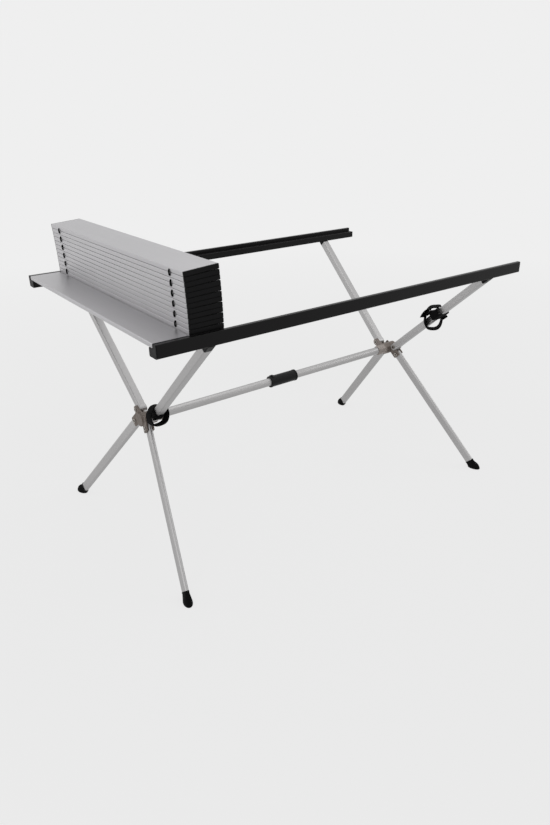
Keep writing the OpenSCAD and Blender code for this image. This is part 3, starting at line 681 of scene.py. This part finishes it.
class TABLE_OT_straps(bpy.types.Operator):
    """Webbing straps on the front arms: a band, a hanging loop in layers with free ends, and stitching"""

    bl_idname = "camp_table.straps"
    bl_label = "Straps"

    BAND_W = 30 * MM
    # distance of the right strap's band up the arm from its loop
    BAND_UP_RIGHT = 26 * MM
    ARM_HALF = 10 * MM
    ARM_PLAY = 0.3 * MM
    LOOP_PLAY = 1.2 * MM
    LEFT_SHIFT = -1.5 * MM
    # powers of the superellipses: the band is nearly a rectangle, and the loop is nearer to an oval
    BAND_POWER = 7
    LOOP_POWER = 2.8
    BAND_POINTS = 96
    LOOP_POINTS = 160
    LAYER_POINTS = 90
    END_STEPS = 8
    # share by which a loop narrows towards its top, and the power by which that grows with height
    LEFT_TAPER = 0.3
    RIGHT_TAPER = 0.2
    TAPER_POWER = 1.5
    # A second layer lies round the first: a layer and a gap at each side, counted in layers.
    SECOND_LAYER = 3.3
    # second layers: start and end in half turns round the loop, and millimetres that the end stands off
    LEFT_LAYERS = (((-1.1, 0.25), 8),)
    RIGHT_LAYERS = (((-1.0, 0.0), 0), ((1.0, 0.3), 7))
    # sewn stretch of each loop, in half turns
    LEFT_SEAM = (-0.85, -0.65)
    RIGHT_SEAM = (-0.6, -0.4)
    SEAM_POINTS = 40
    STITCH_POINTS = 4
    STITCH_STEP = 5
    STITCH_ROWS = 4
    STITCH_RADIUS = 0.35 * MM
    STITCH_SIDES = 6
    STITCH_INSET = 3 * MM
    # Free webbing of the right strap: points in millimetres across and up, and its turn from start to end.
    CROSS_RUN = ((-21, 8), (-12, 15), (0, 18), (12, 21), (20, 26)), (0.0, 0.3)
    FREE_ENDS = (
        (((-9, 22), (-17, 25), (-25, 22), (-30, 12), (-33, 0)), (0.0, 0.8)),
        (((23, -3), (30, 3), (37, 10)), (0.0, 0.2)),
    )

    def arm_frame(self, side):
        """Pivot of the arm, and its own across, normal and along directions."""
        middle, along = tube_axis(f"arm_front_{side}")
        pivot_z = JOINTS["front_arms_fold"]["pos_m"][2]
        pivot = middle + along * (pivot_z - middle[2]) / along[2]
        across = np.array([1.0, 0.0, 0.0]) - along * along[0]
        across /= np.linalg.norm(across)
        return pivot, across, np.cross(along, across), along

    def wrap(self, shape, centre, across, normal, along, half_w, thickness):
        """Ribbon round the arm: a superellipse of high power, which is a rounded rectangle."""
        half_h = self.ARM_HALF + self.ARM_PLAY + thickness / 2
        a = np.arange(self.BAND_POINTS) * 2 * math.pi / self.BAND_POINTS
        c, s = (np.sign(v) * np.abs(v) ** (2 / self.BAND_POWER) for v in (np.cos(a), np.sin(a)))
        path = centre + half_w * c[:, None] * across + half_h * s[:, None] * normal
        side, up = perpendiculars(path, along, closed=True)
        self.add_ribbon(shape, path, side, up, ribbon_outline(self.BAND_W, thickness), closed=True)

    def add_ribbon(self, shape, path, side, up, outline, closed=False):
        """Adds webbing along a path. Its texture runs along the path and across the ribbon, in metres."""
        points = carried(path, side, up, outline)
        uv = np.stack(np.broadcast_arrays(lengths(path)[:, None], outline[None, :, 0]), -1)
        shape.grid(points, uv, closed_rows=closed)

    def loop_path(self, centre, across, hang, loop_w, loop_h, turns, taper):
        """Superellipse in the strap's own plane, which narrows by the taper's share towards its top."""
        c, s = (np.sign(v) * np.abs(v) ** (2 / self.LOOP_POWER) for v in (np.cos(turns), np.sin(turns)))
        narrow = 1 - taper * np.clip(s, 0, 1) ** self.TAPER_POWER
        return centre + (loop_w / 2 * c * narrow)[:, None] * across + (loop_h / 2 * s)[:, None] * hang

    def layer(self, shape, place, loop_w, loop_h, turns, taper, stand_off):
        """Second layer of webbing along part of the loop.

        Its last two fifths stand off the loop, by the square of the way along them.
        """
        middle, wide, up, through, outline = place
        turns = np.linspace(*(turn * math.pi for turn in turns), self.LAYER_POINTS)
        path = self.loop_path(middle, wide, up, loop_w, loop_h, turns, taper)
        loose = np.clip(np.linspace(-1.5, 1.0, self.LAYER_POINTS), 0, 1) ** 2 * stand_off * MM
        away = path - middle
        path = path + loose[:, None] * away / np.linalg.norm(away, axis=-1, keepdims=True)
        side, out = perpendiculars(path, through)
        self.add_ribbon(shape, path, side, out, outline)

    def loose_end(self, shape, place, points, roll):
        """Free webbing: a spline through points in millimetres, whose width turns about its run."""
        middle, wide, up, through, outline = place
        rows = smooth_rows(np.array(points) * MM, self.END_STEPS)
        path = middle + rows[:, :1] * wide + rows[:, 1:] * up
        side, out = perpendiculars(path, through)
        turn = np.linspace(*roll, len(path))[:, None]
        side, out = side * np.cos(turn) + out * np.sin(turn), out * np.cos(turn) - side * np.sin(turn)
        self.add_ribbon(shape, path, side, out, outline)

    def strap(self, sizes, name, at, tilt, twist, loop_h, lift, shift, taper, wrap_half, wrap_up):
        """Band round the arm and a closed loop. Gives the mesh, a point on the arm and the loop's place."""
        t, width = sizes.strap_t, sizes.strap_w
        pivot, across, normal, along = self.arm_frame(name)
        centre = pivot + along * at
        up = normal * math.cos(tilt) + along * math.sin(tilt)
        through = along * math.cos(tilt) - normal * math.sin(tilt)
        wide = across * math.cos(twist) - through * math.sin(twist)
        through = through * math.cos(twist) + across * math.sin(twist)
        rest = self.ARM_HALF / math.cos(tilt) + width / 2 * math.tan(tilt) + self.LOOP_PLAY
        middle = centre + up * (rest + lift - loop_h / 2) + wide * shift
        shape = Shape()
        self.wrap(shape, centre + along * wrap_up, across, normal, along, wrap_half, t)
        turns = np.arange(self.LOOP_POINTS) * 2 * math.pi / self.LOOP_POINTS
        path = self.loop_path(middle, wide, up, sizes.strap_loop_w + t, loop_h + t, turns, taper)
        side, out = perpendiculars(path, through, closed=True)
        outline = ribbon_outline(width, t)
        self.add_ribbon(shape, path, side, out, outline, closed=True)
        return shape, centre, (middle, wide, up, through, outline)

    def execute(self, context):
        colours, sizes = context.scene.table_colours, context.scene.table_sizes
        webbing = woven("woven black webbing", colours.webbing, 1.5, 1.9, 0.35)
        thread = moulded("black bonded thread", colours.stitch, 0.6, 0.4, 0.05)
        spread = self.SECOND_LAYER * sizes.strap_t
        loop_w = sizes.strap_loop_w + spread
        left_h, right_h = sizes.strap_left_h + spread, sizes.strap_right_h + spread
        tight = self.ARM_HALF + self.ARM_PLAY + sizes.strap_t / 2
        shape, _, place = self.strap(
            sizes, "left", sizes.strap_left_at, sizes.strap_left_tilt, sizes.strap_left_twist,
            sizes.strap_left_h, 0.0, self.LEFT_SHIFT, self.LEFT_TAPER, tight, 0.0)
        for turns, stand_off in self.LEFT_LAYERS:
            self.layer(shape, place, loop_w, left_h, turns, self.LEFT_TAPER, stand_off)
        self.finish(shape, "left", webbing)
        self.finish_stitches(
            place, loop_w, left_h, self.LEFT_SEAM, self.LEFT_TAPER, sizes, "left", thread)

        shape, centre, place = self.strap(
            sizes, "right", sizes.strap_right_at, sizes.strap_right_tilt, sizes.strap_right_twist,
            sizes.strap_right_h, sizes.strap_right_raise, 0.0, self.RIGHT_TAPER, sizes.strap_loop_w / 2,
            self.BAND_UP_RIGHT)
        for turns, stand_off in self.RIGHT_LAYERS:
            self.layer(shape, place, loop_w, right_h, turns, self.RIGHT_TAPER, stand_off)
        # A run crosses the upper half of the loop, and an end hangs free at each side of the arm.
        self.loose_end(shape, place, *self.CROSS_RUN)
        for points, roll in self.FREE_ENDS:
            self.loose_end(shape, (centre, *place[1:]), points, roll)
        self.finish(shape, "right", webbing)
        self.finish_stitches(
            place, loop_w, right_h, self.RIGHT_SEAM, self.RIGHT_TAPER, sizes, "right", thread)
        return {"FINISHED"}

    def finish(self, shape, name, webbing):
        """Makes the webbing of one strap a piece, in place of its solid."""
        strap = shape.piece(f"webbing_strap_{name}", webbing, "webbing")
        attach(strap, "front_arms")
        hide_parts(f"strap_{name}")

    def finish_stitches(self, place, loop_w, loop_h, seam, taper, sizes, name, thread):
        """Rows of short threads along the strap, side by side, where its two layers are sewn together."""
        middle, wide, up, through, _ = place
        shape = Shape()
        outline = round_outline(self.STITCH_RADIUS, self.STITCH_SIDES)
        inset = sizes.strap_w / 2 - self.STITCH_INSET
        outer_w, outer_h = loop_w + sizes.strap_t, loop_h + sizes.strap_t
        turns = np.linspace(*seam, self.SEAM_POINTS) * math.pi
        for row in np.linspace(-inset, inset, self.STITCH_ROWS):
            path = self.loop_path(middle, wide, up, outer_w, outer_h, turns, taper) + row * through
            for first in range(0, self.SEAM_POINTS - self.STITCH_POINTS, self.STITCH_STEP):
                seam_path = path[first:first + self.STITCH_POINTS]
                side, out = perpendiculars(seam_path, through)
                points = carried(seam_path, side, out, outline)
                shape.grid(points, np.zeros((*points.shape[:2], 2)))
        rows = shape.piece(f"strap_stitches_{name}", thread, "webbing")
        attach(rows, "front_arms")


def slat_tilt(k):
    """Slope of a slat in the stack: each pair of slats adds what its fold's range lacks to a half turn."""
    opened = math.radians(180 - JOINTS["slat_04_unfold"]["range_deg"][1])
    return opened * max(0, (k - 2) // 2)


def slat_layer():
    """Height of one slat and its gap in the stack."""
    low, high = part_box("slat_02")
    hinge_z = JOINTS["slat_03_unfold"]["pos_m"][2]
    return high[2] - low[2] + 2 * (hinge_z - high[2])


class TABLE_OT_cords(bpy.types.Operator):
    """Braided elastic cord through the slats, with a loop at each edge where two slats fold"""

    bl_idname = "camp_table.cords"
    bl_label = "Cords"

    SIDES = 12
    SPAN_POINTS = 8
    # gap at the ends of a slat, the knots' distance from the outer edges, and the join of slats 1 and 2
    END_GAP = 1 * MM
    KNOT_INSET = 12 * MM
    FLAT_JOIN = 2 * MM
    # the two legs of a loop reach from LOOP_LEG to LOOP_LEG_END inside the slats
    LOOP_LEG = 5 * MM
    LOOP_LEG_END = 0.4 * MM
    LEG_POINTS = 4
    BEND_POINTS = 17
    # power of the bend's height: under 1 the bend is fuller than a half ellipse
    BEND_POWER = 0.8

    def tube(self, shape, path, radius):
        """Round cord along a path in the X-Z plane."""
        side, up = perpendiculars(path, np.array([0.0, 1.0, 0.0]))
        outline = round_outline(radius, self.SIDES)
        run = lengths(path)
        around = np.arange(self.SIDES) * 2 * math.pi * radius / self.SIDES
        uv = np.stack(np.broadcast_arrays(run[:, None], around[None, :]), -1)
        shape.grid(carried(path, side, up, outline), uv)

    def execute(self, context):
        colours, sizes = context.scene.table_colours, context.scene.table_sizes
        braid = woven("braided black elastic", colours.cord, 1.6, 1.6, 0.3, math.radians(45))
        radius = sizes.cord_d / 2
        low, high = (np.array(corner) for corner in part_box("slat_caps_01_02"))
        columns = (low[1] + sizes.cord_inset, high[1] - sizes.cord_inset)
        spans = [self.span(k, columns, radius, braid) for k in range(1, SLAT_COUNT + 1)]
        for k in range(FIRST_FOLDED, SLAT_COUNT + 1):
            self.loop(k, columns, radius, sizes.loop_out, braid)
        # The cord solids are drawn in the even slats, and the span in each stands for its solid.
        for k in range(2, SLAT_COUNT + 1, 2):
            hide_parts(f"cord_{k:02d}")
        return {"FINISHED"}

    def span(self, k, columns, radius, braid):
        """Straight cord inside slat k."""
        points = node_points(f"slat_{k:02d}")
        low, high = points.min(0), points.max(0)
        middle = (low + high) / 2
        tilt = slat_tilt(k)
        half = (high[0] - low[0]) / 2 - self.END_GAP
        along = np.array([math.cos(tilt), 0.0, math.sin(tilt)])
        ends = np.array([-half, half])
        if k == 1:
            ends = np.array([self.KNOT_INSET - half, half + self.FLAT_JOIN])
        if k == SLAT_COUNT:
            ends = np.array([-half, half - self.KNOT_INSET])
        reach = np.linspace(*ends, self.SPAN_POINTS)[:, None] * along
        shape = Shape()
        for y in columns:
            path = np.array([middle[0], y, middle[2]]) + reach
            self.tube(shape, path, radius)
        made = shape.piece(f"cord_in_slat_{k:02d}", braid, "elastic_cord")
        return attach(made, "top" if k < FIRST_FOLDED else f"slat_{k:02d}")

    def loop(self, k, columns, radius, out, braid):
        """U of cord between slat k - 1 and slat k, round the edge where they fold."""
        hinge = np.array(JOINTS[f"slat_{k:02d}_unfold"]["pos_m"])
        way = 1.0 if k % 2 else -1.0
        layer = slat_layer()
        a = np.linspace(-math.pi / 2, math.pi / 2, self.BEND_POINTS)
        rise = np.sign(a) * np.abs(np.sin(a)) ** self.BEND_POWER
        bend = np.stack([out * np.cos(a), layer / 2 * rise], -1)
        leg = np.linspace(-self.LOOP_LEG, -self.LOOP_LEG_END, self.LEG_POINTS)
        low = np.stack([leg, np.full(self.LEG_POINTS, -layer / 2)], -1)
        high = np.stack([leg[::-1], np.full(self.LEG_POINTS, layer / 2)], -1)
        outline = np.concatenate([low, bend, high])
        shape = Shape()
        for y in columns:
            path = np.stack([hinge[0] + way * outline[:, 0], np.full(len(outline), y),
                             hinge[2] + outline[:, 1]], -1)
            self.tube(shape, path, radius)
        made = shape.piece(f"cord_loop_{k:02d}", braid, "elastic_cord")
        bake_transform(made)


class TABLE_OT_stage(bpy.types.Operator):
    """Pale floor and backdrop, soft studio light, and the camera at the photograph's viewpoint"""

    bl_idname = "camp_table.stage"
    bl_label = "Stage"

    FLOOR_HALF = 30.0
    AIM = Vector((0.0, 0.0, 0.4))
    # strength at which the world lights the table
    WORLD_LIGHT = 0.4
    # share of the floor that is seen at its own colour: NEAR_GLOW by the table, all of it from GLOW_FULL on
    NEAR_GLOW = 0.88
    GLOW_FROM = 0.9
    GLOW_FULL = 3.5
    # name, place, size, power in watts
    LAMPS = (
        ("top_softbox", (0.0, 0.3, 2.5), 3.0, 14.0),
        ("key_softbox", (-2.4, -1.6, 1.5), 1.8, 10.0),
        ("fill_softbox", (2.4, -1.2, 1.6), 1.6, 10.0),
        ("side_softbox", (-2.4, 1.9, 0.9), 1.8, 8.0),
    )

    def execute(self, context):
        backdrop = linear(context.scene.table_colours.backdrop)
        self.world(context, backdrop)
        self.floor(context, backdrop)
        for name, place, size, power in self.LAMPS:
            lamp = bpy.data.lights.new(name, "AREA")
            lamp.shape = "DISK"
            lamp.size = size
            lamp.energy = power
            made = bpy.data.objects.new(name, lamp)
            made.location = place
            made.rotation_euler = (self.AIM - Vector(place)).to_track_quat("-Z", "Y").to_euler()
            context.scene.collection.objects.link(made)
        self.camera(context)
        context.scene.view_settings.view_transform = "Standard"
        return {"FINISHED"}

    def seen(self, tree):
        """1 for what the camera sees, also in metal and through glass, and 0 for light on the object."""
        path = add(tree, "ShaderNodeLightPath", {}, {})
        bright = add(tree, "ShaderNodeMath", {"operation": "MAXIMUM"}, {
            0: path.outputs["Is Camera Ray"], 1: path.outputs["Is Glossy Ray"]})
        return add(tree, "ShaderNodeMath", {"operation": "MAXIMUM"}, {
            0: bright.outputs[0], 1: path.outputs["Is Transmission Ray"]}).outputs[0]

    def world(self, context, backdrop):
        """Even light from all round, seen at the backdrop's own colour."""
        made = bpy.data.worlds.new("studio")
        made.use_nodes = True
        tree = made.node_tree
        tree.nodes.clear()
        strength = add(tree, "ShaderNodeMapRange", {}, {
            "Value": self.seen(tree), "To Min": self.WORLD_LIGHT, "To Max": 1.0})
        light = add(tree, "ShaderNodeBackground", {}, {"Color": backdrop, "Strength": strength.outputs[0]})
        add(tree, "ShaderNodeOutputWorld", {}, {"Surface": light.outputs[0]})
        context.scene.world = made

    def floor(self, context, backdrop):
        """Large plane at the feet, seen at the backdrop's own colour, with a soft shadow near the table."""
        mesh = bpy.data.meshes.new("floor")
        h = self.FLOOR_HALF
        mesh.from_pydata([(-h, -h, 0), (h, -h, 0), (h, h, 0), (-h, h, 0)], [], [(0, 1, 2, 3)])
        made, tree, place = new_material("pale floor")
        lit = add(tree, "ShaderNodeBsdfPrincipled", {}, {
            "Base Color": backdrop, "Roughness": 0.9, "Specular IOR Level": 0.0})
        glow = add(tree, "ShaderNodeEmission", {}, {"Color": backdrop, "Strength": 1.0})
        away = add(tree, "ShaderNodeVectorMath", {"operation": "LENGTH"}, {0: place.outputs["Object"]})
        glowing = add(tree, "ShaderNodeMapRange", {}, {
            "Value": away.outputs["Value"], "From Min": self.GLOW_FROM, "From Max": self.GLOW_FULL,
            "To Min": self.NEAR_GLOW, "To Max": 1.0})
        share = add(tree, "ShaderNodeMath", {"operation": "MULTIPLY"}, {
            0: self.seen(tree), 1: glowing.outputs[0]})
        mixed = add(tree, "ShaderNodeMixShader", {}, {
            0: share.outputs[0], 1: lit.outputs[0], 2: glow.outputs[0]})
        add(tree, "ShaderNodeOutputMaterial", {}, {"Surface": mixed.outputs[0]})
        mesh.materials.append(made)
        floor = bpy.data.objects.new("floor", mesh)
        context.scene.collection.objects.link(floor)

    def camera(self, context):
        """Camera turned by azimuth, elevation and roll. The middle pixel is set by the lens shift."""
        view = context.scene.table_view
        a, e = view.azimuth, view.elevation
        back = Vector((math.sin(a) * math.cos(e), -math.cos(a) * math.cos(e), math.sin(e)))
        level = Vector((math.cos(a), math.sin(a), 0))
        upright = back.cross(level)
        right = level * math.cos(view.roll) + upright * math.sin(view.roll)
        up = back.cross(right)
        lens = bpy.data.cameras.new("photo_camera")
        lens.sensor_width = SENSOR_MM
        lens.lens = view.focal / PHOTO_H * SENSOR_MM
        lens.shift_x = (PHOTO_W / 2 - view.middle[0]) / PHOTO_H
        lens.shift_y = (view.middle[1] - PHOTO_H / 2) / PHOTO_H
        made = bpy.data.objects.new("photo_camera", lens)
        turn = Matrix((right, up, back)).transposed().to_4x4()
        made.matrix_world = Matrix.Translation(view.place) @ turn
        context.scene.collection.objects.link(made)
        context.scene.camera = made


class TABLE_PT_panel(bpy.types.Panel):
    """Lists the camp table's pieces, colours and sizes"""

    bl_idname = "TABLE_PT_panel"
    bl_label = "Camp Table"
    bl_space_type = "VIEW_3D"
    bl_region_type = "UI"
    bl_category = "Camp Table"

    def draw(self, context):
        for operator in OPERATORS:
            self.layout.operator(operator.bl_idname)
        for group in (context.scene.table_colours, context.scene.table_sizes, context.scene.table_view):
            for name in group.__annotations__:
                self.layout.prop(group, name)


OPERATORS = (TABLE_OT_slats, TABLE_OT_caps, TABLE_OT_rails, TABLE_OT_tubes, TABLE_OT_hubs, TABLE_OT_coupler,
             TABLE_OT_feet, TABLE_OT_straps, TABLE_OT_cords, TABLE_OT_stage)
GROUPS = (TableColours, TableSizes, TableView)


def register():
    """Makes the add-on's classes and settings known to Blender."""
    for part in (*GROUPS, *OPERATORS, TABLE_PT_panel):
        bpy.utils.register_class(part)
    bpy.types.Scene.table_colours = bpy.props.PointerProperty(type=TableColours)
    bpy.types.Scene.table_sizes = bpy.props.PointerProperty(type=TableSizes)
    bpy.types.Scene.table_view = bpy.props.PointerProperty(type=TableView)


def unregister():
    """Takes them away again."""
    del bpy.types.Scene.table_colours
    del bpy.types.Scene.table_sizes
    del bpy.types.Scene.table_view
    for part in reversed((*GROUPS, *OPERATORS, TABLE_PT_panel)):
        bpy.utils.unregister_class(part)


def main():
    """Dresses the table piece by piece."""
    register()
    bpy.ops.camp_table.slats()
    bpy.ops.camp_table.caps()
    bpy.ops.camp_table.rails()
    bpy.ops.camp_table.tubes()
    bpy.ops.camp_table.hubs()
    bpy.ops.camp_table.coupler()
    bpy.ops.camp_table.feet()
    bpy.ops.camp_table.straps()
    bpy.ops.camp_table.cords()
    bpy.ops.camp_table.stage()


if __name__ == "__main__":
    main()
